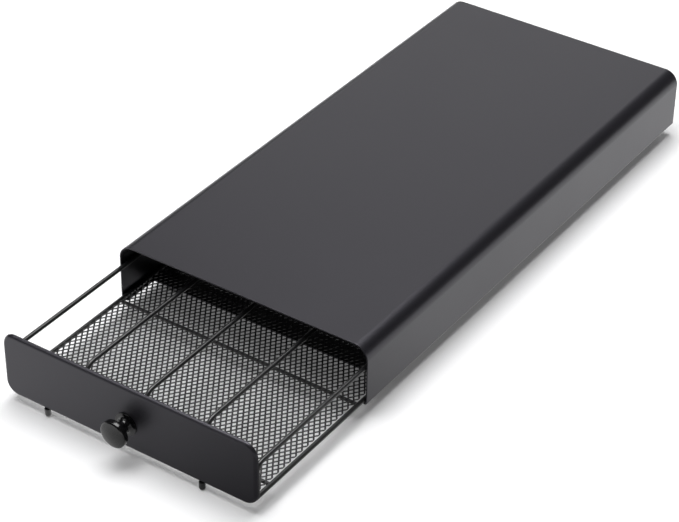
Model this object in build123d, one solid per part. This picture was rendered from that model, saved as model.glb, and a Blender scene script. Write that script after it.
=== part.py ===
from build123d import *

import os

# Drawer for small round capsules: a folded sheet-steel cover that stands on
# four rubber feet, and a rack of bent wire with a plate front that slides out
# of it.  Millimetres.  X is to the right seen from the front, Y runs from the
# knob to the back, Z is up.  The origin lies on the floor in the middle of the
# whole object, with the drawer pulled out as it is photographed.

# ---------------------------------------------------------------- cover sizes
COVER_WIDTH = 188.0
COVER_LENGTH = 392.0
COVER_HEIGHT = 42.5
SHEET = 1.0                 # sheet steel of the cover
TOP_BEND = 10.0             # outer radius of the two long top bends
LIP_BEND = 1.6              # outer radius of the bends at the bottom lips
LIP_WIDTH = 5.0             # lip on which the drawer slides, from the outside
GROUND_GAP = 8.0            # from the floor to the cover's underside
REAR_RETURN = 6.0           # depth of the rear panel with its returns

STRAP_SET_BACK = 28.0       # from the cover's front edge to the front strap
STRAP_WIDTH = 20.0
STRAP_END_INSET = 2.0       # from the cover's outside to the strap's end
STRAP_CORNER = 3.0
REAR_TAB_SET_BACK = 345.0   # from the cover's front edge to the rear tabs
REAR_TAB_REACH = 22.0       # length of a rear tab, across the object

FOOT_X = 80.0
FOOT_RADIUS = 6.0
FOOT_SOLE_RADIUS = 5.0
FOOT_BEVEL_HEIGHT = 1.5
STEM_RADIUS = 2.4
STEM_HOLE_RADIUS = 2.5
STEM_HEAD_RADIUS = 3.6
STEM_HEAD_HEIGHT = 0.8

# --------------------------------------------------------------- drawer sizes
PULLED_OUT = 108.5          # from the cover's front edge to the plate's back
PANEL_WIDTH = 187.0
PANEL_BOTTOM = 5.5
PANEL_TOP = 50.0
PANEL_THICKNESS = 2.5
PANEL_CORNER = 9.0
PANEL_EDGE = 0.8            # bevel of the plate's front edge

WIRE = 3.0                  # diameter of the base, rail and divider wires
CROSS_WIRE = 2.5            # diameter of the wires under the mesh
WIRE_SIDES = 12             # flats of a wire's section, few because the bends repeat
SLIDE_GAP = 0.3             # play between the rack and the cover
RACK_LENGTH = 385.0         # from the plate's back to the rack's rear
RACK_CORNER = 6.0           # bend of the base at its two rear corners
RACK_TAIL = 4.0             # from that bend forwards to the joint with the side wire
CROSS_WIRES = 5
REAR_LEG_INSET = 14.5       # from the rack's rear to the rear legs of all five hoops

RAIL_AXIS_Z = 34.3
RAIL_BEND = 5.0
COPE_RISE = 0.5             # from the side wire's axis to the tips of a coped leg
DIVIDERS = 3
LANE_PITCH = 45.0
DIVIDER_AXIS_Z = 34.2
DIVIDER_BEND = 9.0
DIVIDER_SET_BACK = 17.0     # from the plate's face to the front leg

MESH_THICKNESS = 0.8
MESH_EDGE_INSET = 1.6       # from the side wire's axis to the mesh's edge
MESH_BORDER = 1.5
GAP_PITCH_X = 15.0
GAP_ROWS = 10               # rows of gaps between a divider's two legs
STRAND = 2.2                # width of a strand between two gaps

PIN_SPACING = 116.0
PIN_SHIFT = -4.2            # of the pair's middle from the plate's middle
PIN_RADIUS = 2.0
PIN_EDGE = 0.9

CATCH_X = 20.0
CATCH_WIDTH = 12.0
CATCH_THICKNESS = 1.2
CATCH_BOTTOM = 6.5

# ----------------------------------------------------------------- knob sizes
KNOB_Z = 23.7
KNOB_REACH = 14.5
KNOB_FLANGE_RADIUS = 7.7
KNOB_FLANGE = 0.8
KNOB_NECK_RADIUS = 3.7
KNOB_FLARE = 3.0            # width and height of the cone from the flange to the neck
KNOB_HEAD_RADIUS = 9.0
KNOB_HEAD_START = 9.1       # rear face of the head
KNOB_RIM_EDGE = 0.6          # bevel of the head's rear rim
KNOB_BEVEL_WIDTH = 0.9
KNOB_BEVEL_START = 12.6
KNOB_FACE_START = 13.2

SCREW_RADIUS = 2.0
SCREW_HEAD_RADIUS = 4.0
SCREW_HEAD_HEIGHT = 2.4
SCREW_HEAD_EDGE = 0.8
SCREW_IN_KNOB = 7.0
SCREW_CLEARANCE = 0.25      # of the plate's and the washer's hole
THREAD_CLEARANCE = 0.03
CROSS_SLOT_LENGTH = 4.6
CROSS_SLOT_WIDTH = 0.9
CROSS_SLOT_DEPTH = 1.2
WASHER_RADIUS = 5.0
WASHER_THICKNESS = 0.8

# -------------------------------------------------------------- derived places
overall_length = KNOB_REACH + PANEL_THICKNESS + PULLED_OUT + COVER_LENGTH
cover_rear_y = overall_length / 2
cover_front_y = cover_rear_y - COVER_LENGTH
panel_back_y = cover_front_y - PULLED_OUT
panel_face_y = panel_back_y - PANEL_THICKNESS
rack_rear_y = panel_back_y + RACK_LENGTH

lip_top_z = GROUND_GAP + SHEET
strap_bottom_z = GROUND_GAP - SHEET
wire_radius = WIRE / 2
cross_radius = CROSS_WIRE / 2
side_wire_x = COVER_WIDTH / 2 - SHEET - SLIDE_GAP - wire_radius
span_x = side_wire_x - wire_radius
base_z = lip_top_z + SLIDE_GAP + wire_radius
cross_z = lip_top_z + SLIDE_GAP + cross_radius
mesh_bottom_z = cross_z + cross_radius

base_front_y = panel_back_y + wire_radius
base_rear_y = rack_rear_y - wire_radius
divider_front_y = panel_face_y + DIVIDER_SET_BACK
rear_leg_y = rack_rear_y - REAR_LEG_INSET
side_wire_end_y = base_rear_y - RACK_CORNER - RACK_TAIL

mesh_width = 2 * (side_wire_x - MESH_EDGE_INSET)
mesh_length = base_rear_y - base_front_y - WIRE
mesh_centre_y = (base_front_y + base_rear_y) / 2


# -------------------------------------------------------------------- helpers
def across(y, z=0.0):
    """Upright plane across the object at depth y, facing the front."""
    return Plane(origin=(0, y, z), x_dir=(1, 0, 0), z_dir=(0, -1, 0))


def wire_section(diameter):
    """Section of a wire, with flats to both sides and up and down."""
    turn = 180 / WIRE_SIDES
    return RegularPolygon(diameter / 2, WIRE_SIDES, major_radius=False, rotation=turn)


def straight_wire(start, end, diameter):
    """Wire from one point to another, cut square at both ends."""
    run = Vector(*end) - Vector(*start)
    return extrude(Plane(origin=start, z_dir=run) * wire_section(diameter), run.length)


def bent_wire(corners, bend, diameter):
    """Wire through a list of corners, bent to one radius at each."""
    path = FilletPolyline(*corners, radius=bend)
    return sweep(Plane(origin=path @ 0, z_dir=path % 0) * wire_section(diameter), path=path)


def upright_slab(outline, y, z, thickness):
    """Slab across the object whose front face is at depth y."""
    return extrude(across(y + thickness, z) * outline, thickness)


# ---------------------------------------------------------------------- cover
def cover_section(inset):
    """The cover's outline seen from the front, moved inwards by inset."""
    outline = Rectangle(COVER_WIDTH - 2 * inset, COVER_HEIGHT - 2 * inset)
    outline = fillet(outline.vertices().group_by(Axis.Y)[-1], TOP_BEND - inset)
    return fillet(outline.vertices().group_by(Axis.Y)[0], LIP_BEND - inset)


def cover_plane(y):
    """Plane across the object at depth y, centred on the cover's section."""
    return across(y, GROUND_GAP + COVER_HEIGHT / 2)


def make_cover_shell():
    """One sheet folded over the top and sides and turned in at the bottom."""
    mouth = Pos(0, -COVER_HEIGHT / 2) * Rectangle(COVER_WIDTH - 2 * LIP_WIDTH, 3 * SHEET)
    folded = cover_section(0) - cover_section(SHEET) - mouth
    return extrude(cover_plane(cover_rear_y) * folded, COVER_LENGTH)


def make_rear_panel():
    """Shallow pressed panel inside the cover's rear, its returns to the front."""
    panel = extrude(cover_plane(cover_rear_y) * cover_section(SHEET), REAR_RETURN)
    inner = cover_plane(cover_rear_y - SHEET) * Rectangle(
        COVER_WIDTH - 4 * SHEET, COVER_HEIGHT - 4 * SHEET
    )
    hollow = extrude(inner, REAR_RETURN)
    hollow = fillet(
        hollow.edges().filter_by(Axis.Y).group_by(Axis.Z)[-1], TOP_BEND - 2 * SHEET
    )
    return panel - hollow


def foot_carrier(x_centre, length, y_front, foot_places):
    """Flat steel strip under the lips, with a hole for each foot's stem."""
    y_centre = y_front + STRAP_WIDTH / 2
    strip = RectangleRounded(length, STRAP_WIDTH, STRAP_CORNER)
    for foot_x in foot_places:
        strip -= Pos(foot_x - x_centre, 0) * Circle(STEM_HOLE_RADIUS)
    return extrude(Pos(x_centre, y_centre, strap_bottom_z) * strip, SHEET)


def make_front_strap():
    """Strap from lip to lip, which carries the front feet and stops the drawer."""
    length = COVER_WIDTH - 2 * STRAP_END_INSET
    return foot_carrier(0, length, cover_front_y + STRAP_SET_BACK, (-FOOT_X, FOOT_X))


def make_rear_foot_tab(side):
    """Short tab under one lip, which carries one rear foot."""
    x_centre = side * (COVER_WIDTH / 2 - STRAP_END_INSET - REAR_TAB_REACH / 2)
    y_front = cover_front_y + REAR_TAB_SET_BACK
    return foot_carrier(x_centre, REAR_TAB_REACH, y_front, (side * FOOT_X,))


def make_foot(side, set_back):
    """Round rubber foot with a bevelled sole and a push-in stem."""
    top = strap_bottom_z
    stem_top = top + SHEET + STEM_HEAD_HEIGHT
    half = Polyline(
        (0, 0),
        (FOOT_SOLE_RADIUS, 0),
        (FOOT_RADIUS, FOOT_BEVEL_HEIGHT),
        (FOOT_RADIUS, top),
        (STEM_RADIUS, top),
        (STEM_RADIUS, top + SHEET),
        (STEM_HEAD_RADIUS, top + SHEET),
        (STEM_HEAD_RADIUS, stem_top),
        (0, stem_top),
        close=True,
    )
    y = cover_front_y + set_back + STRAP_WIDTH / 2
    return Pos(side * FOOT_X, y, 0) * revolve(Plane.XZ * make_face(half.edges()), Axis.Z)


# --------------------------------------------------------------- drawer front
def make_front_panel():
    """Steel plate with round corners and a bevelled front edge."""
    height = PANEL_TOP - PANEL_BOTTOM
    outline = RectangleRounded(PANEL_WIDTH, height, PANEL_CORNER)
    plate = extrude(across(panel_back_y, PANEL_BOTTOM + height / 2) * outline, PANEL_THICKNESS)
    plate = chamfer(plate.faces().sort_by(Axis.Y)[0].edges(), PANEL_EDGE)
    hole = Circle(SCREW_RADIUS + SCREW_CLEARANCE)
    return plate - extrude(across(panel_back_y, KNOB_Z) * hole, PANEL_THICKNESS)


def make_knob():
    """Turned knob: flange, cone, neck and a head with a bevel and a domed face."""
    bore = SCREW_RADIUS + THREAD_CLEARANCE
    flange_corner = (KNOB_FLANGE_RADIUS, KNOB_FLANGE)
    flare_end = (KNOB_NECK_RADIUS + KNOB_FLARE, KNOB_FLANGE)
    neck_foot = (KNOB_NECK_RADIUS, KNOB_FLANGE + KNOB_FLARE)
    neck_top = (KNOB_NECK_RADIUS, KNOB_HEAD_START)
    rim_inner = (KNOB_HEAD_RADIUS - KNOB_RIM_EDGE, KNOB_HEAD_START)
    rim_outer = (KNOB_HEAD_RADIUS, KNOB_HEAD_START + KNOB_RIM_EDGE)
    bevel_corner = (KNOB_HEAD_RADIUS, KNOB_BEVEL_START)
    face_corner = (KNOB_HEAD_RADIUS - KNOB_BEVEL_WIDTH, KNOB_FACE_START)
    face_centre = (0, KNOB_REACH)
    outline = [
        Polyline((bore, SCREW_IN_KNOB), (bore, 0), (KNOB_FLANGE_RADIUS, 0), flange_corner),
        Polyline(flange_corner, flare_end, neck_foot, neck_top, rim_inner, rim_outer),
        Polyline(rim_outer, bevel_corner, face_corner),
        TangentArc(face_centre, face_corner, tangent=(1, 0)),
        Polyline(face_centre, (0, SCREW_IN_KNOB), (bore, SCREW_IN_KNOB)),
    ]
    half = make_face([edge for curve in outline for edge in curve.edges()])
    outwards = Plane(origin=(0, panel_face_y, KNOB_Z), x_dir=(1, 0, 0), z_dir=(0, 0, -1))
    return revolve(outwards * half, Axis((0, panel_face_y, KNOB_Z), (0, 1, 0)))


def make_knob_washer():
    """Flat washer between the screw's head and the plate."""
    ring = Circle(WASHER_RADIUS) - Circle(SCREW_RADIUS + SCREW_CLEARANCE)
    return upright_slab(ring, panel_back_y, KNOB_Z, WASHER_THICKNESS)


def make_knob_screw():
    """Pan-head screw from behind the plate into the knob, with a cross slot."""
    under_head_y = panel_back_y + WASHER_THICKNESS
    head_back_y = under_head_y + SCREW_HEAD_HEIGHT
    head = upright_slab(Circle(SCREW_HEAD_RADIUS), under_head_y, KNOB_Z, SCREW_HEAD_HEIGHT)
    head = chamfer(head.faces().sort_by(Axis.Y)[-1].edges(), SCREW_HEAD_EDGE)
    shank_length = WASHER_THICKNESS + PANEL_THICKNESS + SCREW_IN_KNOB - THREAD_CLEARANCE
    shank = extrude(across(under_head_y, KNOB_Z) * Circle(SCREW_RADIUS), shank_length)
    bar = Rectangle(CROSS_SLOT_LENGTH, CROSS_SLOT_WIDTH)
    slot = extrude(across(head_back_y, KNOB_Z) * (bar + Rot(0, 0, 90) * bar), CROSS_SLOT_DEPTH)
    return head + shank - slot


# ---------------------------------------------------------------- drawer rack
def make_base_side_wire(side):
    """Side wire of the base, from the plate to the rear bend."""
    x = side * side_wire_x
    return straight_wire((x, panel_back_y, base_z), (x, side_wire_end_y, base_z), WIRE)


def make_base_front_wire():
    """Wire along the back of the plate, between the two side wires."""
    ends = [(x, base_front_y, base_z) for x in (-span_x, span_x)]
    return straight_wire(*ends, WIRE)


def make_base_rear_wire():
    """Rear of the base, bent forwards at both ends to meet the side wires."""
    corners = [
        (-side_wire_x, side_wire_end_y, base_z),
        (-side_wire_x, base_rear_y, base_z),
        (side_wire_x, base_rear_y, base_z),
        (side_wire_x, side_wire_end_y, base_z),
    ]
    return bent_wire(corners, RACK_CORNER, WIRE)


def make_cross_wires():
    """Evenly spaced wires between the two side wires, which carry the mesh."""
    spacing = (rear_leg_y - divider_front_y) / (CROSS_WIRES - 1)
    wires = {}
    for index in range(CROSS_WIRES):
        y = divider_front_y + index * spacing
        ends = [(x, y, cross_z) for x in (-span_x, span_x)]
        wires[f"cross_wire_{index + 1}"] = straight_wire(*ends, CROSS_WIRE)
    return wires


def mesh_outline(inset):
    """The floor's outline moved inwards by inset, its rear corners round as the base's."""
    outline = Rectangle(mesh_width - 2 * inset, mesh_length - 2 * inset)
    rear_corners = outline.vertices().group_by(Axis.Y)[-1]
    return fillet(rear_corners, RACK_CORNER - MESH_EDGE_INSET - inset)


def make_base_mesh():
    """Expanded-metal floor: one sheet with staggered diamond gaps.

    The rows are set so that every divider's legs stand inside a gap.
    """
    row_pitch = (rear_leg_y - divider_front_y) / GAP_ROWS
    corners_x = GAP_PITCH_X / 2 - STRAND / 2
    corners_y = corners_x * row_pitch / GAP_PITCH_X
    gap = Polygon((corners_x, 0), (0, corners_y), (-corners_x, 0), (0, -corners_y))
    columns = int(mesh_width / GAP_PITCH_X / 2) + 1
    gaps = []
    for half_row in range(-2, 2 * GAP_ROWS + 3):
        y = divider_front_y + half_row * row_pitch / 2
        shift = 0.5 * (half_row % 2)
        for column in range(-columns, columns + 1):
            gaps.append(Pos((column + shift) * GAP_PITCH_X, y - mesh_centre_y) * gap)
    window = mesh_outline(MESH_BORDER)
    openings = [face for cell in gaps for face in (window & cell).faces()]
    print("gaps in the mesh:", len(openings))
    sheet = mesh_outline(0) - openings
    return extrude(Pos(0, mesh_centre_y, mesh_bottom_z) * sheet, MESH_THICKNESS)


def hoop(x, front_y, rear_y, top_z, foot_z, bend):
    """Wire that rises at the front, runs back level and goes down at the rear."""
    corners = [
        (x, front_y, foot_z),
        (x, front_y, top_z),
        (x, rear_y, top_z),
        (x, rear_y, foot_z),
    ]
    return bent_wire(corners, bend, WIRE)


def make_rail(side, side_wire):
    """Side rail whose legs stand on the side wire, the front one at the plate."""
    foot_z = base_z + COPE_RISE
    rail = hoop(side * side_wire_x, base_front_y, rear_leg_y, RAIL_AXIS_Z, foot_z, RAIL_BEND)
    return rail - side_wire


def make_divider(index, leg_wires):
    """Divider between two lanes, its legs coped to the cross wires under them."""
    x = (index - (DIVIDERS - 1) / 2) * LANE_PITCH
    wire = hoop(x, divider_front_y, rear_leg_y, DIVIDER_AXIS_Z, cross_z, DIVIDER_BEND)
    return wire - leg_wires


def make_foot_pin(side):
    """Short upright pin with a bevelled end, under the plate's lower edge."""
    x = PIN_SHIFT + side * PIN_SPACING / 2
    y = panel_back_y - PANEL_THICKNESS / 2
    pin = Pos(x, y, 0) * extrude(Circle(PIN_RADIUS), PANEL_BOTTOM)
    return chamfer(pin.edges().group_by(Axis.Z)[0], PIN_EDGE)


def make_catch(side):
    """Tab on the front of the last cross wire, which meets the strap's rear edge."""
    height = cross_z - CATCH_BOTTOM
    outline = Rectangle(CATCH_WIDTH, height)
    outline = fillet(outline.vertices().group_by(Axis.Y)[0], CATCH_WIDTH / 8)
    y_back = rear_leg_y - cross_radius
    tab = across(y_back, CATCH_BOTTOM + height / 2) * Pos(side * CATCH_X, 0) * outline
    return extrude(tab, CATCH_THICKNESS)


# ------------------------------------------------------------------- assembly
def build_cover():
    """Every piece that stands still, by name."""
    pieces = {
        "cover_shell": make_cover_shell(),
        "rear_panel": make_rear_panel(),
        "front_strap": make_front_strap(),
    }
    for name, side in (("left", -1), ("right", 1)):
        pieces[f"rear_foot_tab_{name}"] = make_rear_foot_tab(side)
        pieces[f"foot_front_{name}"] = make_foot(side, STRAP_SET_BACK)
        pieces[f"foot_rear_{name}"] = make_foot(side, REAR_TAB_SET_BACK)
    return pieces


def build_drawer():
    """Every piece that slides, by name."""
    side_wires = [make_base_side_wire(side) for side in (-1, 1)]
    cross_wires = make_cross_wires()
    leg_wires = [cross_wires["cross_wire_1"], cross_wires[f"cross_wire_{CROSS_WIRES}"]]
    pieces = {
        "front_panel": make_front_panel(),
        "knob": make_knob(),
        "knob_washer": make_knob_washer(),
        "knob_screw": make_knob_screw(),
        "base_front_wire": make_base_front_wire(),
        "base_rear_wire": make_base_rear_wire(),
        "base_mesh": make_base_mesh(),
    }
    pieces.update(cross_wires)
    for (name, side), side_wire in zip((("left", -1), ("right", 1)), side_wires):
        pieces[f"base_side_wire_{name}"] = side_wire
        pieces[f"rail_{name}"] = make_rail(side, side_wire)
        pieces[f"foot_pin_{name}"] = make_foot_pin(side)
        pieces[f"catch_{name}"] = make_catch(side)
    for index in range(DIVIDERS):
        pieces[f"divider_{index + 1}"] = make_divider(index, leg_wires)
    return pieces


def main():
    """Build both bodies and write one STEP file for each piece."""
    os.makedirs("parts", exist_ok=True)
    for name, solid in {**build_cover(), **build_drawer()}.items():
        export_step(solid, f"parts/{name}.step")


main()
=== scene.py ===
"""Looks of a coffee pod drawer: a folded steel cover and the wire rack that slides in it.

Everything is in metres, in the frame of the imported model: X to the right seen
from the front, Y from the knob to the back, Z up, the floor at zero.
"""

import logging
import math
from dataclasses import dataclass
from enum import Enum
from typing import Callable, ClassVar, Sequence

import bmesh
import bpy
from mathutils import Matrix, Quaternion, Vector


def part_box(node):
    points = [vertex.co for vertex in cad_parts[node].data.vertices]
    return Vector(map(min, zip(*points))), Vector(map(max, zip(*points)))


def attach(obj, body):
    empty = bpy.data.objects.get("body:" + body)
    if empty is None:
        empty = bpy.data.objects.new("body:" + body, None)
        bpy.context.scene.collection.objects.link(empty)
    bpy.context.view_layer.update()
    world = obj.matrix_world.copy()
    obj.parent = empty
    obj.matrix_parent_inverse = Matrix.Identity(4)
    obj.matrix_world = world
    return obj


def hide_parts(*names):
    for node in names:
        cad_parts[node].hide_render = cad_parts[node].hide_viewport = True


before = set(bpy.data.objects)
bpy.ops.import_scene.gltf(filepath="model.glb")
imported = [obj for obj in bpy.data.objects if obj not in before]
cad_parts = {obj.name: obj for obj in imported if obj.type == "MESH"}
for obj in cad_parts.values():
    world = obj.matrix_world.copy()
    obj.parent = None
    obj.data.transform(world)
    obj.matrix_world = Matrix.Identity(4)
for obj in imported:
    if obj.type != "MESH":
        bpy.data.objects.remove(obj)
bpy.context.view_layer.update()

log = logging.getLogger("coffee_pod_drawer")

MM = 0.001
X, Y, Z = Vector((1, 0, 0)), Vector((0, 1, 0)), Vector((0, 0, 1))
SIDES = ("left", "right")
FACING = 0.9  # a face looks along an axis when its normal's share of it is over this
SHARP = 35.0  # in degrees: edges sharper than this count as edges
NEAR = 0.01 * MM  # places nearer than this are one place
DOUBLES = 0.001 * MM  # corners nearer than this are merged
Socket = bpy.types.NodeSocket
Colour = tuple[int, int, int]


class Body(Enum):
    """The two rigid bodies that a piece can ride on."""

    COVER = "cover"
    DRAWER = "drawer"


class Element(Enum):
    """What a mesh operator picks, with the name of its list in a mesh."""

    VERT = "verts"
    EDGE = "edges"
    FACE = "faces"


class Rise(Enum):
    """How a signal rises between two levels."""

    STRAIGHT = "LINEAR"
    SOFT = "SMOOTHSTEP"


class Slot(Enum):
    """The record's material slots."""

    COVER = "cover_powder_coat"
    STRAP = "strap_powder_coat"
    PANEL = "panel_powder_coat"
    KNOB = "knob_gloss_enamel"
    SCREW = "screw_zinc"
    WIRE = "wire_enamel"
    MESH = "mesh_enamel"
    RUBBER = "foot_rubber"


# ------------------------------------------------------------------ shader kit
def linear(colour: Colour) -> tuple[float, float, float, float]:
    """Turns a colour written in 0 to 255 screen values into scene values.

    Args:
        colour: red, green and blue as a screen shows them.

    Returns:
        Red, green, blue and an alpha of 1, linear.
    """
    low_end, slope, offset, gamma = 0.04045, 12.92, 0.055, 2.4
    parts = [channel / 255 for channel in colour]
    bright = [
        part / slope if part <= low_end else ((part + offset) / (1 + offset)) ** gamma
        for part in parts
    ]
    return (*bright, 1.0)


class Signal:
    """A number that changes over a surface: a socket with arithmetic."""

    def __init__(self, tree: bpy.types.NodeTree, socket: Socket) -> None:
        """Keeps the tree and the socket that gives the number."""
        self.tree = tree
        self.socket = socket

    def _math(self, operation: str, *values: "Signal | float") -> "Signal":
        """Adds one Math node.

        Args:
            operation: the node's operation.
            values: its inputs in order, signals or plain numbers.

        Returns:
            The node's result.
        """
        node = self.tree.nodes.new("ShaderNodeMath")
        node.operation = operation
        for plug, value in zip(node.inputs, values):
            if isinstance(value, Signal):
                self.tree.links.new(value.socket, plug)
            else:
                plug.default_value = value
        return Signal(self.tree, node.outputs[0])

    def __add__(self, other: "Signal | float") -> "Signal":
        """Sum."""
        return self._math("ADD", self, other)

    def __sub__(self, other: "Signal | float") -> "Signal":
        """Difference."""
        return self._math("SUBTRACT", self, other)

    def __rsub__(self, other: float) -> "Signal":
        """A number less this signal."""
        return self._math("SUBTRACT", other, self)

    def __mul__(self, other: "Signal | float") -> "Signal":
        """Product."""
        return self._math("MULTIPLY", self, other)

    __radd__ = __add__
    __rmul__ = __mul__

    def sway(self, span: float) -> "Signal":
        """Turns 0 to 1 into a sway about zero that is a span wide in all."""
        return (self - 0.5) * span


class Recipe:
    """A material's nodes, built round one Principled shader."""

    def __init__(self, name: str, **constants: float | tuple) -> None:
        """Starts a material.

        Args:
            name: the material's name.
            constants: values set directly on the shader, spaces as underscores.
        """
        self.material = bpy.data.materials.new(name)
        self.material.use_nodes = True
        self.tree = self.material.node_tree
        self.shader = self.tree.nodes["Principled BSDF"]
        for key, value in constants.items():
            self.shader.inputs[key.replace("_", " ")].default_value = value
        place = self.node("ShaderNodeTexCoord")
        self.place = place.outputs["Object"]

    def node(
        self, kind: str, settings: dict | None = None, sockets: dict | None = None
    ) -> bpy.types.Node:
        """Adds any node.

        Args:
            kind: the node's type.
            settings: its properties, set first.
            sockets: values or links of its inputs, by name or number.

        Returns:
            The new node.
        """
        node = self.tree.nodes.new(kind)
        for key, value in (settings or {}).items():
            setattr(node, key, value)
        for key, value in (sockets or {}).items():
            self.plug(node.inputs[key], value)
        return node

    def plug(self, socket: Socket, value: "Signal | Socket | float | tuple") -> None:
        """Links a signal or socket, or sets a plain value.

        Args:
            socket: the input.
            value: what it gets.
        """
        if isinstance(value, Signal):
            self.tree.links.new(value.socket, socket)
        elif isinstance(value, Socket):
            self.tree.links.new(value, socket)
        else:
            socket.default_value = value

    def noise(self, size: float, detail: float = 2.0, stretch: Vector | None = None) -> Signal:
        """Noise over the surface.

        Args:
            size: the noise's typical feature in metres.
            detail: how many finer layers it has.
            stretch: how much longer the features are along X, Y and Z.

        Returns:
            A signal from 0 to 1.
        """
        place = self.place
        if stretch:
            squeeze = tuple(1 / factor for factor in stretch)
            mapping = self.node("ShaderNodeMapping", None, {"Vector": place, "Scale": squeeze})
            place = mapping.outputs["Vector"]
        node = self.node(
            "ShaderNodeTexNoise", None, {"Vector": place, "Scale": 1 / size, "Detail": detail}
        )
        return Signal(self.tree, node.outputs[0])

    def distance(self, centre: Vector) -> Signal:
        """Measures how far each point of the surface is from a centre.

        Args:
            centre: the centre.

        Returns:
            The distance in metres.
        """
        sockets = {0: self.place, 1: centre}
        node = self.node("ShaderNodeVectorMath", {"operation": "DISTANCE"}, sockets)
        return Signal(self.tree, node.outputs["Value"])

    def rise(self, signal: Signal, low: float, high: float, shape: Rise) -> Signal:
        """Rises from 0 to 1 as a signal goes from one level to another.

        Args:
            signal: the signal.
            low: where the rise starts.
            high: where it ends.
            shape: how it rises.

        Returns:
            A signal from 0 to 1.
        """
        sockets = {"Value": signal, "From Min": low, "From Max": high}
        node = self.node("ShaderNodeMapRange", {"interpolation_type": shape.value}, sockets)
        return Signal(self.tree, node.outputs["Result"])

    def colour(self, dark: Colour, light: Colour, mask: Signal) -> Socket:
        """Mixes two colours by a mask.

        Args:
            dark: the colour where the mask is 0.
            light: the colour where it is 1.
            mask: the mask.

        Returns:
            The mixed colour.
        """
        factor, first, second, result = 0, 6, 7, 2  # the node's numbers for its colour sockets
        sockets = {factor: mask, first: linear(dark), second: linear(light)}
        return self.node("ShaderNodeMix", {"data_type": "RGBA"}, sockets).outputs[result]

    def bump(self, height: Signal, depth: float, under: Socket | None = None) -> Socket:
        """Turns a height signal into a surface normal.

        Args:
            height: the relief, 0 to 1.
            depth: its depth in metres.
            under: another bump's result that this one lies on.

        Returns:
            The normal.
        """
        sockets = {"Height": height, "Distance": depth, "Strength": 1.0}
        if under is not None:
            sockets["Normal"] = under
        return self.node("ShaderNodeBump", None, sockets).outputs[0]

    def surface(self, **inputs: Signal | Socket) -> bpy.types.Material:
        """Links what varies to the shader.

        Args:
            inputs: the shader's inputs, spaces as underscores.

        Returns:
            The material.
        """
        for key, value in inputs.items():
            self.plug(self.shader.inputs[key.replace("_", " ")], value)
        return self.material


# -------------------------------------------------------------------- finishes
@dataclass(frozen=True)
class Finish:
    """A finish's name and the two colours between which it varies."""

    name: str
    dark: Colour
    light: Colour


@dataclass(frozen=True)
class PowderCoat(Finish):
    """Fine matte powder coat: an even colour with a close, soft grain."""

    roughness: float
    sheen: float = 0.5
    shine_tint: tuple[float, ...] = (0.905, 0.885, 1.0, 1.0)
    grain: float = 0.45 * MM
    grain_depth: float = 0.010 * MM
    grain_gloss: float = 0.10
    orange_peel: float = 2.6 * MM
    peel_depth: float = 0.012 * MM
    cloud: float = 60 * MM
    cloud_share: float = 0.6
    cloud_gloss: float = 0.06
    speck_level: float = 0.72
    speck_edge: float = 0.06
    speck_tone: float = 0.4
    speck_gloss: float = 0.05

    def build(self) -> bpy.types.Material:
        """Makes the material.

        Returns:
            The material.
        """
        recipe = Recipe(self.name, Specular_IOR_Level=self.sheen, Specular_Tint=self.shine_tint)
        cloud = recipe.noise(self.cloud, detail=3)
        grain = recipe.noise(self.grain, detail=2)
        speck_foot = self.speck_level - self.speck_edge
        specks = recipe.rise(grain, speck_foot, self.speck_level, Rise.STRAIGHT)
        tone = cloud * self.cloud_share + grain * (1 - self.cloud_share)
        roughness = self.roughness + cloud.sway(self.cloud_gloss) + grain.sway(self.grain_gloss)
        peel = recipe.bump(recipe.noise(self.orange_peel, detail=1), self.peel_depth)
        return recipe.surface(
            Base_Color=recipe.colour(self.dark, self.light, tone + specks * self.speck_tone),
            Roughness=roughness - specks * self.speck_gloss,
            Normal=recipe.bump(grain, self.grain_depth, peel),
        )


@dataclass(frozen=True)
class WireEnamel(Finish):
    """Satin black enamel, a little uneven along the wire."""

    roughness: float
    sheen: float = 0.5
    coat: float = 0.0
    coat_roughness: float = 0.12
    ripple: float = 1.6 * MM
    ripple_depth: float = 0.02 * MM
    ripple_coat: float = 0.1
    ripples_per_patch: float = 8.0
    patch_gloss: float = 0.14

    def build(self) -> bpy.types.Material:
        """Makes the material.

        Returns:
            The material.
        """
        shine = {"Specular_IOR_Level": self.sheen, "Coat_Roughness": self.coat_roughness}
        recipe = Recipe(self.name, **shine)
        ripple = recipe.noise(self.ripple, detail=2)
        patches = recipe.noise(self.ripple * self.ripples_per_patch, detail=2)
        return recipe.surface(
            Base_Color=recipe.colour(self.dark, self.light, patches),
            Roughness=self.roughness + patches.sway(self.patch_gloss),
            Coat_Weight=self.coat + ripple.sway(self.ripple_coat),
            Normal=recipe.bump(ripple, self.ripple_depth),
        )


@dataclass(frozen=True)
class Plating(Finish):
    """Zinc plating with fine turning marks."""

    roughness: float = 0.3
    mark: float = 0.25 * MM
    mark_run: Vector = Vector((4, 1, 4))
    mark_depth: float = 0.01 * MM
    mark_gloss: float = 0.2
    stain: float = 1.2 * MM

    def build(self) -> bpy.types.Material:
        """Makes the material.

        Returns:
            The material.
        """
        recipe = Recipe(self.name, Metallic=1.0)
        marks = recipe.noise(self.mark, detail=3, stretch=self.mark_run)
        return recipe.surface(
            Base_Color=recipe.colour(self.dark, self.light, recipe.noise(self.stain)),
            Roughness=self.roughness + marks * self.mark_gloss,
            Normal=recipe.bump(marks, self.mark_depth),
        )


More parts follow.
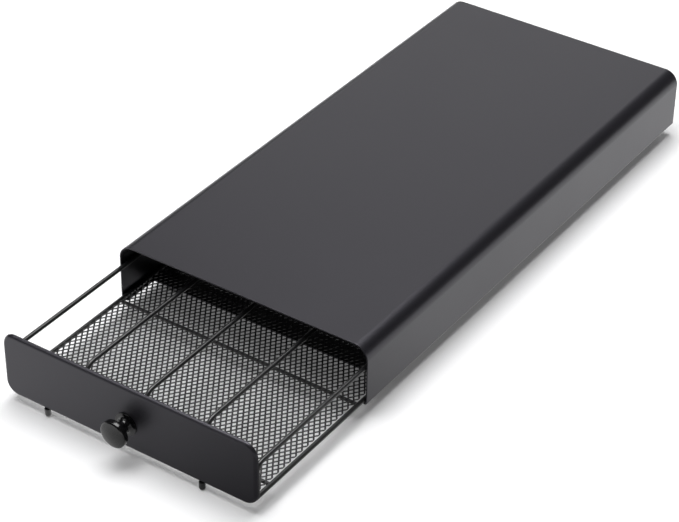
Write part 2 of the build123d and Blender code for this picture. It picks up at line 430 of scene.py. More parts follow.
@dataclass(frozen=True)
class Rubber(Finish):
    """Matte moulded rubber with dust in its pores."""

    roughness: float = 0.72
    sheen: float = 0.35
    pore: float = 0.3 * MM
    pore_depth: float = 0.03 * MM
    pore_gloss: float = 0.2
    dust: float = 3 * MM
    dust_share: float = 0.7

    def build(self) -> bpy.types.Material:
        """Makes the material.

        Returns:
            The material.
        """
        recipe = Recipe(self.name, Specular_IOR_Level=self.sheen)
        pores = recipe.noise(self.pore, detail=3)
        dust = recipe.noise(self.dust, detail=3)
        dirt = dust * self.dust_share + pores * (1 - self.dust_share)
        return recipe.surface(
            Base_Color=recipe.colour(self.dark, self.light, dirt),
            Roughness=self.roughness + pores.sway(self.pore_gloss),
            Normal=recipe.bump(pores, self.pore_depth),
        )


FINISHES = {
    Slot.COVER: PowderCoat("cover_powder_coat", (23, 22, 25), (28, 27, 31), roughness=0.36),
    Slot.STRAP: PowderCoat("strap_powder_coat", (25, 25, 26), (31, 31, 32), roughness=0.42),
    Slot.PANEL: PowderCoat("panel_powder_coat", (23, 22, 25), (28, 27, 31), roughness=0.38),
    Slot.KNOB: WireEnamel(
        "knob_gloss_enamel",
        (10, 10, 11),
        (15, 15, 16),
        roughness=0.15,
        ripple=3 * MM,
        ripple_depth=0.008 * MM,
    ),
    Slot.SCREW: Plating("screw_zinc", (150, 152, 156), (176, 177, 180)),
    Slot.WIRE: WireEnamel("wire_enamel", (20, 20, 21), (30, 30, 31), roughness=0.34, coat=0.3),
    Slot.MESH: WireEnamel(
        "mesh_enamel", (18, 18, 19), (30, 30, 31), roughness=0.40, coat=0.2, ripple=0.9 * MM
    ),
    Slot.RUBBER: Rubber("foot_rubber", (20, 20, 20), (38, 37, 36)),
}


class Paint:
    """The finishes, each made once."""

    def __init__(self) -> None:
        """Makes every material."""
        self.materials = {slot: finish.build() for slot, finish in FINISHES.items()}

    def coat(self, obj: bpy.types.Object, slot: Slot) -> None:
        """Puts one finish all over an object.

        Args:
            obj: the object.
            slot: the finish's slot.
        """
        if obj.data.materials:
            obj.data.materials[0] = self.materials[slot]
        else:
            obj.data.materials.append(self.materials[slot])


# ------------------------------------------------------------------- mesh bench
class Blank:
    """A mesh on the bench, shaped in edit mode by operators."""

    def __init__(self, obj: bpy.types.Object, name: str) -> None:
        """Moves an object's place into its mesh and opens it in edit mode.

        Args:
            obj: the object, which is the selected and active one.
            name: the piece's name.
        """
        self.obj = obj
        obj.name = name
        obj.data.name = name
        bpy.ops.object.transform_apply(location=True, rotation=True, scale=True)
        bpy.ops.object.mode_set(mode="EDIT")
        bpy.ops.mesh.select_all(action="SELECT")

    @classmethod
    def disc(
        cls, name: str, centre: Vector, facing: Vector, radius: float, corners: int
    ) -> "Blank":
        """Starts from a flat disc.

        Args:
            name: the piece's name.
            centre: the disc's centre.
            facing: the way its face points.
            radius: its radius.
            corners: how many corners its rim has.

        Returns:
            The blank, with the disc selected.
        """
        bpy.ops.object.select_all(action="DESELECT")
        bpy.ops.mesh.primitive_circle_add(
            vertices=corners,
            radius=radius,
            fill_type="NGON",
            location=centre,
            rotation=facing.to_track_quat("Z", "Y").to_euler(),
        )
        return cls(bpy.context.object, name)

    @classmethod
    def upright(cls, name: str, low: Vector, high: Vector, depth: float) -> "Blank":
        """Starts from an upright rectangle that faces the front.

        Args:
            name: the piece's name.
            low: a corner that gives the least X and Z.
            high: a corner that gives the largest X and Z.
            depth: the rectangle's place along Y.

        Returns:
            The blank, with the rectangle selected.
        """
        bpy.ops.object.select_all(action="DESELECT")
        middle = (low + high) / 2
        bpy.ops.mesh.primitive_plane_add(
            size=1, location=(middle.x, depth, middle.z), rotation=(math.pi / 2, 0, 0)
        )
        bpy.context.object.scale = (high.x - low.x, high.z - low.z, 1)
        return cls(bpy.context.object, name)

    def select(self, element: Element, wanted: Callable[..., bool]) -> None:
        """Selects the elements that a test accepts, and nothing else.

        Args:
            element: what is selected.
            wanted: the test, by an element's place or normal.
        """
        bpy.ops.mesh.select_mode(type=element.name)
        bpy.ops.mesh.select_all(action="DESELECT")
        mesh = bmesh.from_edit_mesh(self.obj.data)
        for item in getattr(mesh, element.value):
            if wanted(item):
                item.select_set(True)
        mesh.select_flush_mode()
        bmesh.update_edit_mesh(self.obj.data)

    def extrude(self, move: Vector) -> None:
        """Extrudes what is selected."""
        bpy.ops.mesh.extrude_region_move(TRANSFORM_OT_translate={"value": move})

    def round_corners(self, radius: float, faces: int, wanted: Callable[..., bool]) -> None:
        """Rounds the chosen corners of a flat outline."""
        self.select(Element.VERT, wanted)
        bpy.ops.mesh.bevel(affect="VERTICES", offset=radius, segments=faces, profile=0.5)

    def round_edges(self, radius: float, faces: int, wanted: Callable[..., bool]) -> None:
        """Rounds the chosen edges of a solid."""
        self.select(Element.EDGE, wanted)
        bpy.ops.mesh.bevel(affect="EDGES", offset=radius, segments=faces, profile=0.5)

    def cut(self, point: Vector, normal: Vector, drop: bool = False) -> None:
        """Cuts the whole mesh by a plane, and may drop what lies beyond it."""
        bpy.ops.mesh.select_all(action="SELECT")
        bpy.ops.mesh.bisect(plane_co=point, plane_no=normal, clear_outer=drop)

    def move(self, wanted: Callable[..., bool], step: Vector) -> None:
        """Moves the chosen verts by a step."""
        self.select(Element.VERT, wanted)
        bpy.ops.transform.translate(value=step)

    def drop(self, wanted: Callable[..., bool]) -> None:
        """Deletes the chosen faces."""
        self.select(Element.FACE, wanted)
        bpy.ops.mesh.delete(type="FACE")

    def face_outwards(self) -> None:
        """Merges doubles and makes every face point outwards."""
        bpy.ops.mesh.select_all(action="SELECT")
        bpy.ops.mesh.remove_doubles(threshold=DOUBLES)
        bpy.ops.mesh.normals_make_consistent(inside=False)

    def close(self) -> bpy.types.Object:
        """Leaves edit mode and gives the object."""
        bpy.ops.object.mode_set(mode="OBJECT")
        return self.obj


def pick(obj: bpy.types.Object) -> None:
    """Makes one object the only selected and the active one.

    Args:
        obj: the object.
    """
    bpy.ops.object.select_all(action="DESELECT")
    obj.select_set(True)
    bpy.context.view_layer.objects.active = obj


def modify(obj: bpy.types.Object, kind: str, **settings: object) -> None:
    """Adds one modifier, sets it and applies it.

    Args:
        obj: the object.
        kind: the modifier's type.
        settings: its properties.
    """
    pick(obj)
    modifier = obj.modifiers.new(kind.lower(), kind)
    for key, value in settings.items():
        setattr(modifier, key, value)
    bpy.ops.object.modifier_apply(modifier=modifier.name)


def soften(obj: bpy.types.Object, width: float) -> None:
    """Rounds an object's sharp edges and smooths the rest.

    Args:
        obj: the object.
        width: the rounding's width in metres.
    """
    modify(
        obj,
        "BEVEL",
        width=width,
        segments=3,
        limit_method="ANGLE",
        angle_limit=math.radians(SHARP),
        miter_outer="MITER_ARC",
    )
    smooth(obj)
    modify(obj, "WEIGHTED_NORMAL", keep_sharp=True)


def smooth(obj: bpy.types.Object, angle: float = SHARP) -> None:
    """Shades an object smooth, apart from edges sharper than an angle in degrees."""
    pick(obj)
    bpy.ops.object.shade_smooth_by_angle(angle=math.radians(angle))


class Grown:
    """A round piece that grows from a disc."""

    def __init__(
        self, name: str, start: Vector, heading: Vector, radius: float, corners: int = 20
    ) -> None:
        """Starts the piece.

        Args:
            name: the piece's name.
            start: the middle of its first face.
            heading: the way it grows.
            radius: the first face's radius.
            corners: how many corners the face has.
        """
        self.place = start.copy()
        self.heading = heading.normalized()
        self.radius = radius
        self.blank = Blank.disc(name, start, heading, radius, corners)

    def finish(self, sharp: float = 40.0) -> bpy.types.Object:
        """Faces the piece outwards and smooths it.

        Args:
            sharp: edges sharper than this, in degrees, stay sharp.

        Returns:
            The finished object.
        """
        self.blank.face_outwards()
        obj = self.blank.close()
        smooth(obj, sharp)
        return obj


class BentWire(Grown):
    """A round wire that grows by straight runs and bends; its place is its growing end."""

    rings_per_bend = 10

    def run(self, length: float) -> "BentWire":
        """Goes straight on.

        Args:
            length: how far.

        Returns:
            The wire itself.
        """
        move = self.heading * length
        self.blank.extrude(move)
        self.place += move
        return self

    def turn(self, towards: Vector, bend: float) -> "BentWire":
        """Bends by a quarter turn, towards a direction that is square to the heading.

        Args:
            towards: the direction, of length 1.
            bend: the bend's radius at the wire's middle.

        Returns:
            The wire itself.
        """
        centre = self.place + towards * bend
        axis = self.heading.cross(towards)
        quarter = math.radians(90)
        bpy.ops.mesh.spin(steps=self.rings_per_bend, angle=quarter, center=centre, axis=-axis)
        turn = Quaternion(axis, quarter)
        self.place = centre + turn @ (self.place - centre)
        self.heading = turn @ self.heading
        return self


class Turned(Grown):
    """A round piece that grows ring by ring, as on a lathe; its place is its first face."""

    height = 0.0

    def ring(self, radius: float, height: float) -> "Turned":
        """Goes on to the next ring.

        Args:
            radius: the ring's radius.
            height: its height above the start.

        Returns:
            The piece itself.
        """
        self.blank.extrude(self.heading * (height - self.height))
        middle = self.place + self.heading * height
        factor = radius / self.radius
        bpy.ops.transform.resize(value=(factor,) * 3, center_override=middle)
        self.radius, self.height = radius, height
        return self

    def arc(
        self, centre: tuple[float, float], bend: float, first: float, last: float, steps: int
    ) -> "Turned":
        """Goes on through rings on an arc of the outline.

        Args:
            centre: the arc's centre, as radius and height.
            bend: the arc's radius.
            first: the angle where it starts, in degrees from straight out.
            last: the angle where it ends.
            steps: how many rings it has.

        Returns:
            The piece itself.
        """
        for step in range(1, steps + 1):
            angle = math.radians(first + (last - first) * step / steps)
            self.ring(centre[0] + bend * math.cos(angle), centre[1] + bend * math.sin(angle))
        return self


# ---------------------------------------------------------------- sub-assemblies
@dataclass(frozen=True)
class Piece:
    """A finished mesh, with its finish and the node that it stands for."""

    obj: bpy.types.Object
    slot: Slot
    node: str


def repeat(first: bpy.types.Object, kind: str, slot: Slot, nodes: Sequence[str]) -> list[Piece]:
    """Copies a finished piece to the places of like nodes, each copy with its own mesh.

    Args:
        first: the piece, which stands where the first node is.
        kind: what it is, which ends the pieces' names.
        slot: their finish.
        nodes: the nodes, with the first one.

    Returns:
        One piece for each node.
    """
    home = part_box(nodes[0])[0]
    pieces = [Piece(first, slot, nodes[0])]
    for node in nodes[1:]:
        pick(first)
        bpy.ops.object.duplicate(linked=False)
        copy = bpy.context.object
        copy.name = copy.data.name = f"{node}_{kind}"
        bpy.ops.transform.translate(value=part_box(node)[0] - home)
        bpy.ops.object.transform_apply(location=True, rotation=False, scale=False)
        pieces.append(Piece(copy, slot, node))
    return pieces


@dataclass
class SubAssembly:
    """Pieces that one body carries: new ones, and nodes whose shape is kept."""

    paint: Paint
    body: ClassVar[Body]
    kept: ClassVar[dict[str, Slot]]

    def dress(self, pieces: Sequence[Piece]) -> None:
        """Coats every piece, and lets the new ones ride and stand for their nodes.

        Args:
            pieces: the new pieces.
        """
        for piece in pieces:
            self.paint.coat(piece.obj, piece.slot)
            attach(piece.obj, self.body.value)
            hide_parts(piece.node)
            faces = len(piece.obj.data.polygons)
            log.info("%s stands for %s, %d faces", piece.obj.name, piece.node, faces)
        for node, slot in self.kept.items():
            self.paint.coat(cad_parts[node], slot)
            log.info("%s keeps its shape, coated as %s", node, slot.value)


# ----------------------------------------------------------------------- cover
@dataclass
class Cover(SubAssembly):
    """The folded cover with its rear panel, strap, tabs and rubber feet."""

    body = Body.COVER
    kept = {
        "front_strap": Slot.STRAP,
        "rear_foot_tab_left": Slot.STRAP,
        "rear_foot_tab_right": Slot.STRAP,
    }
    sheet: float = 1.0 * MM
    top_bend: float = 10.0 * MM
    top_bend_faces: int = 18
    lip_bend: float = 1.6 * MM
    lip_bend_faces: int = 6
    lip_width: float = 5.0 * MM
    edge: float = 0.28 * MM
    rear_seam: float = 0.15 * MM
    panel_corner: float = 1.5 * MM
    sole_bevel: float = 1.0 * MM
    sole_bevel_height: float = 1.5 * MM
    sole_recess: float = 0.6 * MM
    sole_rim: float = 1.8 * MM
    foot_edge: float = 0.3 * MM
    foot_corners: int = 48
    stem: float = 2.4 * MM
    barb: float = 3.6 * MM

    def block(self, name: str, node: str, inset: float, lower_bend: float) -> Blank:
        """Draws the cover's outline out into a block that is as deep as a node.

        Args:
            name: the piece's name.
            node: the node.
            inset: how far the block's sides lie inside the cover's outside.
            lower_bend: the radius of its lower corners.

        Returns:
            The blank.
        """
        low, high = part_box("cover_shell")
        step = Vector((inset, 0, inset))
        low, high = low + step, high - step
        middle = (low.z + high.z) / 2
        front, rear = (corner.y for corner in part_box(node))
        blank = Blank.upright(name, low, high, rear)
        upper_bend = self.top_bend - inset
        blank.round_corners(upper_bend, self.top_bend_faces, lambda v: v.co.z > middle)
        blank.round_corners(lower_bend, self.lip_bend_faces, lambda v: v.co.z < middle)
        bpy.ops.mesh.select_all(action="SELECT")
        blank.extrude(Y * (front - rear))
        blank.face_outwards()
        return blank

    def thicken(self, blank: Blank) -> bpy.types.Object:
        """Gives an open skin the sheet's thickness and breaks its edges.

        Args:
            blank: the skin.

        Returns:
            The finished sheet.
        """
        obj = blank.close()
        modify(obj, "SOLIDIFY", thickness=self.sheet, offset=-1, use_even_offset=True)
        soften(obj, self.edge)
        return obj

    def build_shell(self) -> bpy.types.Object:
        """Folds the sheet over the top and sides and in at the bottom.

        Returns:
            The finished shell.
        """
        blank = self.block("cover_sheet", "cover_shell", 0, self.lip_bend)
        blank.drop(lambda f: abs(f.normal.y) > FACING)
        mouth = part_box("cover_shell")[1].x - self.lip_width
        for side in (-1, 1):
            blank.cut(X * side * mouth, X)
        blank.drop(lambda f: f.normal.z < -FACING and abs(f.calc_center_median().x) < mouth)
        return self.thicken(blank)

    def build_rear_panel(self) -> bpy.types.Object:
        """Presses the shallow panel that closes the back.

        Returns:
            The finished panel.
        """
        inset = self.sheet + self.rear_seam
        blank = self.block("rear_panel_pressing", "rear_panel", inset, self.panel_corner)
        blank.drop(lambda f: f.normal.y < -FACING)
        return self.thicken(blank)

    def build_foot(self, node: str) -> bpy.types.Object:
        """Moulds one rubber foot: a hollow sole, a bevel, a straight wall, a stem and its barb.

        Args:
            node: the node that it stands for.

        Returns:
            The finished foot.
        """
        low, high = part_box(node)
        strap_low, strap_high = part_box("front_strap")
        recess, edge, bevel = self.sole_recess, self.foot_edge, self.sole_bevel_height
        middle = Vector(((low.x + high.x) / 2, (low.y + high.y) / 2, low.z + recess))
        wall = (high.x - low.x) / 2
        sole = wall - self.sole_bevel
        hollow = sole - self.sole_rim
        top, above, tip = (level - middle.z for level in (strap_low.z, strap_high.z, high.z))
        foot = Turned(f"{node}_rubber", middle, Z, hollow - edge, self.foot_corners)
        foot.ring(hollow, -recess + edge / 2).ring(hollow + edge, -recess)
        foot.ring(sole - edge, -recess).ring(sole, -recess + edge / 2)
        foot.ring(wall - edge / 4, bevel - recess - edge).ring(wall, bevel - recess)
        foot.ring(wall, top - edge).ring(wall - edge / 3, top - edge / 3).ring(wall - edge, top)
        foot.ring(self.stem, top).ring(self.stem, above)
        foot.ring(self.barb - edge, above).ring(self.barb, above + edge)
        foot.ring(self.barb, tip - edge).ring(self.barb - edge, tip)
        return foot.finish()

    def build(self) -> list[Piece]:
        """Makes every new piece of the cover.

        Returns:
            The pieces.
        """
        feet = [f"foot_{end}_{side}" for end in ("front", "rear") for side in SIDES]
        return [
            Piece(self.build_shell(), Slot.COVER, "cover_shell"),
            Piece(self.build_rear_panel(), Slot.COVER, "rear_panel"),
            *repeat(self.build_foot(feet[0]), "rubber", Slot.RUBBER, feet),
        ]


# ---------------------------------------------------------------- drawer front
@dataclass
class Front(SubAssembly):
    """The plate with its knob, screw and washer."""

    body = Body.DRAWER
    kept = {"knob_screw": Slot.SCREW}
    corner: float = 9.0 * MM
    corner_faces: int = 16
    front_rounding: float = 2.2 * MM
    back_rounding: float = 0.25 * MM
    rounding_faces: int = 8
    knob_corners: int = 96
    knob_sharp: float = 28.0
    flange: float = 0.8 * MM
    flange_radius: float = 7.7 * MM
    flange_tip: float = 0.15 * MM
    flare: float = 3.2 * MM
    neck: float = 3.7 * MM
    head_radius: float = 9.0 * MM
    head_start: float = 9.1 * MM
    bevel_start: float = 12.6 * MM
    face_start: float = 13.2 * MM
    bevel: float = 0.9 * MM
    small: float = 0.6 * MM
    rim: float = 0.40 * MM
    face_rim: float = 0.25 * MM
    face_rim_end: float = 84.0
    dome_end: float = 89.5
    washer_edge: float = 0.15 * MM
    washer_corners: int = 48

    def build_plate(self) -> bpy.types.Object:
        """Cuts the plate, rounds its corners and front edge, and breaks its back edge.

        Returns:
            The finished plate.
        """
        low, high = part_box("front_panel")
        blank = Blank.upright("front_plate", low, high, high.y)
        blank.round_corners(self.corner, self.corner_faces, lambda v: True)
        bpy.ops.mesh.select_all(action="SELECT")
        blank.extrude(Y * (low.y - high.y))
        blank.face_outwards()

        def at_depth(edge: bmesh.types.BMEdge, depth: float) -> bool:
            """Tells whether an edge lies in the upright plane at a depth."""
            return all(abs(vert.co.y - depth) < NEAR for vert in edge.verts)

        for depth, rounding in ((low.y, self.front_rounding), (high.y, self.back_rounding)):
            blank.round_edges(rounding, self.rounding_faces, lambda e: at_depth(e, depth))
        obj = blank.close()
        smooth(obj)
        modify(obj, "WEIGHTED_NORMAL", keep_sharp=True)
        return obj

    def build_knob(self) -> bpy.types.Object:
        """Turns the knob: flange, flare, neck, and the head with its domed face.

        Returns:
            The finished knob.
        """
        low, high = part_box("knob")
        start = Vector(((low.x + high.x) / 2, high.y, (low.z + high.z) / 2))
        knob = Turned("pull_knob", start, -Y, self.flange_radius, self.knob_corners)
        tip, small, rim, face_rim = self.flange_tip, self.small, self.rim, self.face_rim
        knob.ring(self.flange_radius, self.flange - tip)
        knob.arc((self.flange_radius - tip, self.flange - tip), tip, 0, 90, steps=3)
        flare_centre = (self.neck + self.flare, self.flange + self.flare)
        knob.arc(flare_centre, self.flare, 270, 180, steps=12)
        knob.ring(self.neck, self.head_start - small)
        knob.arc((self.neck + small, self.head_start - small), small, 180, 90, steps=5)
        knob.arc((self.head_radius - small, self.head_start + small), small, -90, 0, steps=6)
        inner = self.head_radius - self.bevel
        slope = math.degrees(math.atan2(self.bevel, self.face_start - self.bevel_start))
        knob.arc((self.head_radius - rim, self.bevel_start - rim / 2), rim, 0, slope, steps=5)
        face_edge = (inner - face_rim / 2, self.face_start - face_rim)
        knob.arc(face_edge, face_rim, slope, self.face_rim_end, steps=4)
        reach = high.y - low.y
        dome = reach - self.face_start
        bow = (inner**2 + dome**2) / (2 * dome)
        dome_start = math.degrees(math.acos(inner / bow))
        knob.arc((0, reach - bow), bow, dome_start, self.dome_end, steps=14)
        return knob.finish(self.knob_sharp)

    def build_washer(self) -> bpy.types.Object:
        """Turns the flat washer behind the plate.

        Returns:
            The finished washer.
        """
        low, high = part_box("knob_washer")
        start = Vector((0, low.y, (low.z + high.z) / 2))
        radius, edge = (high.x - low.x) / 2, self.washer_edge
        washer = Turned("flat_washer", start, Y, radius - edge, self.washer_corners)
        washer.ring(radius, edge).ring(radius, high.y - low.y - edge)
        washer.ring(radius - edge, high.y - low.y)
        return washer.finish()

    def build(self) -> list[Piece]:
        """Makes every new piece of the front.

        Returns:
            The pieces.
        """
        return [
            Piece(self.build_plate(), Slot.PANEL, "front_panel"),
            Piece(self.build_knob(), Slot.KNOB, "knob"),
            Piece(self.build_washer(), Slot.SCREW, "knob_washer"),
        ]


# ----------------------------------------------------------------- drawer rack
@dataclass
class Rack(SubAssembly):
    """The bent-wire rack: base, cross wires, rails, dividers, mesh and pins."""

    body = Body.DRAWER
    kept = {"catch_left": Slot.WIRE, "catch_right": Slot.WIRE}
    rail_bend: float = 5.0 * MM
    divider_bend: float = 9.0 * MM
    base_corner: float = 6.0 * MM
    pin_dome_share: float = 0.8
    pin_corners: int = 24
    gaps_across: int = 46
    gaps_along: int = 64
    strand: float = 1.05 * MM
    strand_lean: float = 0.22 * MM
    mesh_thickness: float = 0.36 * MM
    corner_trim: float = 1.8 * MM
    dividers: int = 3
    cross_wires: int = 5

    def build_straight(self, node: str, along: Vector) -> bpy.types.Object:
        """Draws a straight wire that fills a node's box along one axis.

        Args:
            node: the node that it stands for.
            along: the axis.

        Returns:
            The finished wire.
        """
        low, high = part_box(node)
        size = high - low
        length = size.dot(along)
        start = (low + high) / 2 - along * length / 2
        return BentWire(f"{node}_rod", start, along, size.z / 2).run(length).finish()

    def build_hoop(self, node: str, bend: float) -> bpy.types.Object:
        """Bends a wire up, back and down again in a node's box.

        Args:
            node: the node that it stands for.
            bend: the radius of both bends, at the wire's middle.

        Returns:
            The finished wire.
        """
        low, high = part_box(node)
        radius = (high.x - low.x) / 2
        start = Vector((low.x + radius, low.y + radius, low.z))
        rise = high.z - radius - low.z - bend
        length = high.y - low.y - 2 * radius - 2 * bend
        wire = BentWire(f"{node}_wire", start, Z, radius)
        wire.run(rise).turn(Y, bend).run(length).turn(-Z, bend).run(rise)
        return wire.finish()

    def build_rear_wire(self, node: str) -> bpy.types.Object:
        """Bends the rear of the base forwards at both ends.

        Args:
            node: the node that it stands for.

        Returns:
            The finished wire.
        """
        low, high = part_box(node)
        radius = (high.z - low.z) / 2
        start = Vector((low.x + radius, low.y, low.z + radius))
        tail = high.y - radius - self.base_corner - low.y
        width = high.x - low.x - 2 * radius - 2 * self.base_corner
        wire = BentWire(f"{node}_bent", start, Y, radius)
        wire.run(tail).turn(X, self.base_corner).run(width).turn(-Y, self.base_corner).run(tail)
        return wire.finish()

    def build_pin(self, node: str) -> bpy.types.Object:
        """Rounds the lower end of an upright pin.

        Args:
            node: the node that it stands for.

        Returns:
            The finished pin.
        """
        low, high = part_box(node)
        radius = (high.x - low.x) / 2
        dome = radius * self.pin_dome_share
        start = Vector(((low.x + high.x) / 2, (low.y + high.y) / 2, low.z))
        pin = Turned(f"{node}_rod", start, Z, radius - dome, self.pin_corners)
        pin.arc((radius - dome, dome), dome, -90, 0, steps=6)
        pin.ring(radius, high.z - low.z)
        return pin.finish()

    def build_cell(self, centre: Vector, half_x: float, half_y: float) -> Blank:
        """Slits and stretches one cell of the floor: the strands round one gap.

        The strands lean over sideways, as they do in stretched metal: each gap's left
        corner stands up and its right corner lies low.

        Args:
            centre: the cell's middle.
            half_x: half its width.
            half_y: half its length.

        Returns:
            The blank.
        """
        grow = 1 + self.strand / 2 * math.hypot(1 / half_x, 1 / half_y)
        blank = Blank.disc("expanded_floor", centre, Z, 1.0, 4)
        size = (half_x * grow, half_y * grow, 1)
        bpy.ops.transform.resize(value=size, center_override=centre)
        bpy.ops.mesh.inset(thickness=self.strand, use_boundary=True)
        bpy.ops.mesh.delete(type="FACE")
        for side in (-1, 1):
            blank.cut(centre + X * side * half_x, X * side, drop=True)
            blank.cut(centre + Y * side * half_y, Y * side, drop=True)

        def corner(vert: bmesh.types.BMVert, side: int) -> bool:
            """Tells whether a vert is a corner of this cell's gap or of a gap beside it.

            Args:
                vert: the vert.
                side: -1 for gaps' left corners and 1 for their right corners.

            Returns:
                True for such a corner.
            """
            across, along = (vert.co - centre).xy
            own = abs(along) < NEAR and NEAR < across * side < half_x - NEAR
            next_gap = abs(abs(along) - half_y) < NEAR and across * side < -NEAR
            return own or next_gap

        blank.move(lambda vert: corner(vert, -1), Z * self.strand_lean)
        blank.move(lambda vert: corner(vert, 1), -Z * self.strand_lean)
        return blank

    def build_mesh(self, node: str) -> bpy.types.Object:
        """Repeats the cell over the floor, trims the rear corners and thickens the sheet.

        Args:
            node: the node that it stands for.

        Returns:
            The finished floor.
        """
        low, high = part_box(node)
        across = (high.x - low.x) / self.gaps_across
        along = (high.y - low.y) / self.gaps_along
        floor = low.z + self.mesh_thickness / 2 + self.strand_lean
        centre = Vector((low.x + across / 2, low.y + along / 2, floor))
        obj = self.build_cell(centre, across / 2, along / 2).close()
        for count, step in ((self.gaps_across, X * across), (self.gaps_along, Y * along)):
            modify(
                obj,
                "ARRAY",
                count=count,
                use_relative_offset=False,
                use_constant_offset=True,
                constant_offset_displace=step,
                use_merge_vertices=True,
                merge_threshold=NEAR,
            )
        sheet = Blank(obj, obj.name)
        for side in (-1, 1):
            outwards = Vector((side, 1, 0)).normalized()
            corner = Vector((side * high.x, high.y, floor))
            sheet.cut(corner - outwards * self.corner_trim, outwards, drop=True)
        sheet.close()
        modify(obj, "SOLIDIFY", thickness=self.mesh_thickness, offset=0)
        return obj

    def build(self) -> list[Piece]:
        """Makes every new piece of the rack.

        Returns:
            The pieces.
        """
        sides = [f"base_side_wire_{side}" for side in SIDES]
        rails = [f"rail_{side}" for side in SIDES]
        pins = [f"foot_pin_{side}" for side in SIDES]
        dividers = [f"divider_{index + 1}" for index in range(self.dividers)]
        crossings = [f"cross_wire_{index + 1}" for index in range(self.cross_wires)]
        front, rear, floor = "base_front_wire", "base_rear_wire", "base_mesh"
        return [
            Piece(self.build_straight(front, X), Slot.WIRE, front),
            Piece(self.build_rear_wire(rear), Slot.WIRE, rear),
            Piece(self.build_mesh(floor), Slot.MESH, floor),
            *repeat(self.build_straight(sides[0], Y), "rod", Slot.WIRE, sides),
            *repeat(self.build_hoop(rails[0], self.rail_bend), "wire", Slot.WIRE, rails),
            *repeat(self.build_hoop(dividers[0], self.divider_bend), "wire", Slot.WIRE, dividers),
            *repeat(self.build_straight(crossings[0], X), "rod", Slot.WIRE, crossings),
            *repeat(self.build_pin(pins[0]), "rod", Slot.WIRE, pins),
        ]


# ---------------------------------------------------------------------- studio
@dataclass
class Lamp:
    """One soft area lamp, aimed at a point."""

    name: str
    place: Vector
    aim: Vector
    size: tuple[float, float]
    glow: float

    def build(self) -> None:
        """Hangs the lamp, with a power that gives its face the wanted glow."""
        data = bpy.data.lights.new(self.name, "AREA")
        data.shape = "RECTANGLE"
        width, height = self.size
        data.size, data.size_y = width, height
        data.energy = self.glow * math.pi * width * height
        lamp = bpy.data.objects.new(self.name, data)
        bpy.context.scene.collection.objects.link(lamp)
        lamp.location = self.place
        lamp.rotation_euler = (self.aim - self.place).to_track_quat("-Z", "Y").to_euler()
        lamp.visible_camera = False


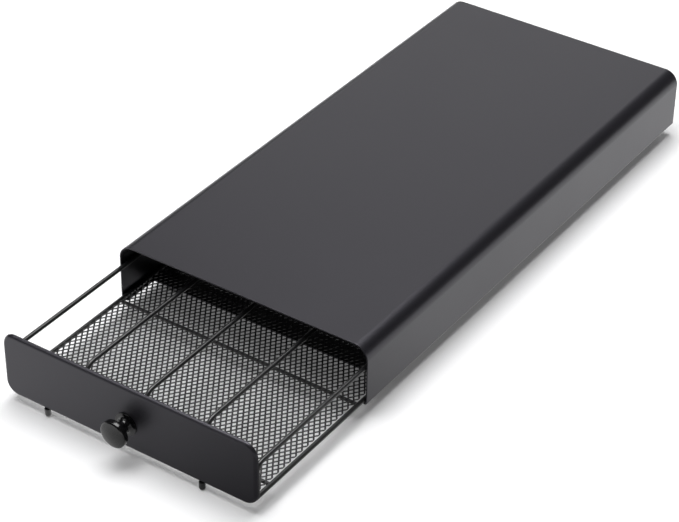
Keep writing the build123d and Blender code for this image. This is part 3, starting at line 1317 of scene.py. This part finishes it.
@dataclass
class Studio:
    """White floor, soft lamps and the camera at the photograph's angle."""

    azimuth: float = 34.091
    elevation: float = 35.224
    roll: float = 0.737
    distance: float = 1449.93 * MM
    focal_pixels: float = 2274.94
    photo_width: int = 679
    sensor: float = 36.0
    nearest: float = 0.05
    farthest: float = 50.0
    target: Vector = Vector((11.5 * MM, -42.5 * MM, 28.0 * MM))
    floor_size: float = 12.0
    floor_colour: Colour = (246, 246, 247)
    floor_roughness: float = 0.9
    floor_glow: float = 0.1
    backdrop_start: float = 0.38
    backdrop_end: float = 0.80
    # painted light: in reflections the floor shows a painted glow, a painted shade pool round this corner
    # that rises to a painted sheen further off
    painted_shade_corner: Vector = Vector((0.12, -0.26, 0.0))
    painted_shade_end: float = 0.26
    painted_sheen_end: float = 0.60
    painted_shade_glow: float = 0.03
    painted_sheen_glow: float = 1.27
    far_painted_sheen_glow: float = 0.35
    painted_reflection_share: float = 0.85
    sky_glow: float = 0.04

    def build_camera(self) -> None:
        """Places the camera as it stood for the photograph."""
        turn, lift, roll = (math.radians(a) for a in (self.azimuth, self.elevation, self.roll))
        back = Vector(
            (math.sin(turn) * math.cos(lift), -math.cos(turn) * math.cos(lift), math.sin(lift))
        )
        right = (-back).cross(Z).normalized()
        up = right.cross(-back)
        side = math.cos(roll) * right + math.sin(roll) * up
        top = -math.sin(roll) * right + math.cos(roll) * up
        data = bpy.data.cameras.new("photo_camera")
        data.sensor_width = self.sensor
        data.lens = self.focal_pixels * self.sensor / self.photo_width
        data.clip_start, data.clip_end = self.nearest, self.farthest
        camera = bpy.data.objects.new("photo_camera", data)
        bpy.context.scene.collection.objects.link(camera)
        pose = Matrix((side, top, back)).transposed().to_4x4()
        pose.translation = self.target + back * self.distance
        camera.matrix_world = pose
        bpy.context.scene.camera = camera

    def build_floor(self) -> None:
        """Lays the floor: pale paper near the object, and plain white further off.

        In reflections the paper shows a painted glow instead of its lit brightness: a painted sheen that
        is strongest behind the object and a painted shade that is deepest by its front right corner.
        """
        bpy.ops.object.select_all(action="DESELECT")
        bpy.ops.mesh.primitive_plane_add(size=self.floor_size)
        floor = bpy.context.object
        floor.name = "studio_floor"
        paper = {"Base_Color": linear(self.floor_colour), "Roughness": self.floor_roughness}
        recipe = Recipe("floor_paper", **paper)
        path = recipe.node("ShaderNodeLightPath")
        seen = Signal(recipe.tree, path.outputs["Is Camera Ray"])
        mirrored = Signal(recipe.tree, path.outputs["Is Glossy Ray"])
        from_middle = recipe.distance(Vector())
        backdrop = recipe.rise(from_middle, self.backdrop_start, self.backdrop_end, Rise.SOFT)
        # painted reflection: gloss sees a painted glow here, low by the front right corner as painted
        # shade and high further off as painted sheen
        from_corner = recipe.distance(self.painted_shade_corner)
        near = recipe.rise(from_corner, 0.0, self.painted_shade_end, Rise.SOFT)
        far = recipe.rise(from_corner, self.painted_shade_end, self.painted_sheen_end, Rise.SOFT)
        gain = self.painted_sheen_glow - self.painted_shade_glow
        shine = near * gain + far * self.far_painted_sheen_glow + self.painted_shade_glow
        white = backdrop * (1 - self.floor_glow) + self.floor_glow
        strength = seen + mirrored * shine
        light = {"Color": linear((255, 255, 255)), "Strength": strength}
        glow = recipe.node("ShaderNodeEmission", None, light)
        # glossy rays see mostly the painted glow, camera rays the paper and an even white
        share = seen * white + mirrored * self.painted_reflection_share
        shaders = {"Fac": share, 1: recipe.shader.outputs["BSDF"], 2: glow.outputs["Emission"]}
        mix = recipe.node("ShaderNodeMixShader", None, shaders)
        output = recipe.tree.nodes["Material Output"]
        recipe.plug(output.inputs["Surface"], mix.outputs["Shader"])
        floor.data.materials.append(recipe.material)

    def build_world(self) -> None:
        """Sets a white sky that lights softly and looks white."""
        world = bpy.data.worlds.new("studio_sky")
        bpy.context.scene.world = world
        world.use_nodes = True
        tree = world.node_tree
        sky = tree.nodes["Background"]
        path = tree.nodes.new("ShaderNodeLightPath")
        seen = Signal(tree, path.outputs["Is Camera Ray"])
        strength = seen * (1 - self.sky_glow) + self.sky_glow
        tree.links.new(strength.socket, sky.inputs["Strength"])
        sky.inputs["Color"].default_value = (1, 1, 1, 1)

    def build(self) -> None:
        """Sets up the whole studio."""
        scene = bpy.context.scene
        scene.view_settings.view_transform = "Standard"
        self.build_world()
        self.build_floor()
        middle, plate = Vector((0, 0, 0.03)), Vector((0, -0.244, 0.045))
        lamps = (
            Lamp("overhead_softbox", Vector((-0.2, 0.08, 1.7)), middle, size=(1.8, 1.1), glow=7.5),
            Lamp("rear_left_softbox", Vector((-1.085, 1.957, 1.115)), middle, size=(1.5, 1.1), glow=1.22),
            Lamp("front_left_softbox", Vector((-0.60, -0.99, 0.93)), plate, size=(0.8, 0.6), glow=1.2),
        )
        for lamp in lamps:
            lamp.build()
            log.info("%s hung", lamp.name)
        self.build_camera()


def main() -> None:
    """Builds every part of the object and the studio round it."""
    logging.basicConfig(level=logging.INFO, format="%(name)s: %(message)s")
    paint = Paint()
    for part in (Cover(paint), Front(paint), Rack(paint)):
        part.dress(part.build())
        log.info("%s built", type(part).__name__)
    Studio().build()


if __name__ == "__main__":
    main()
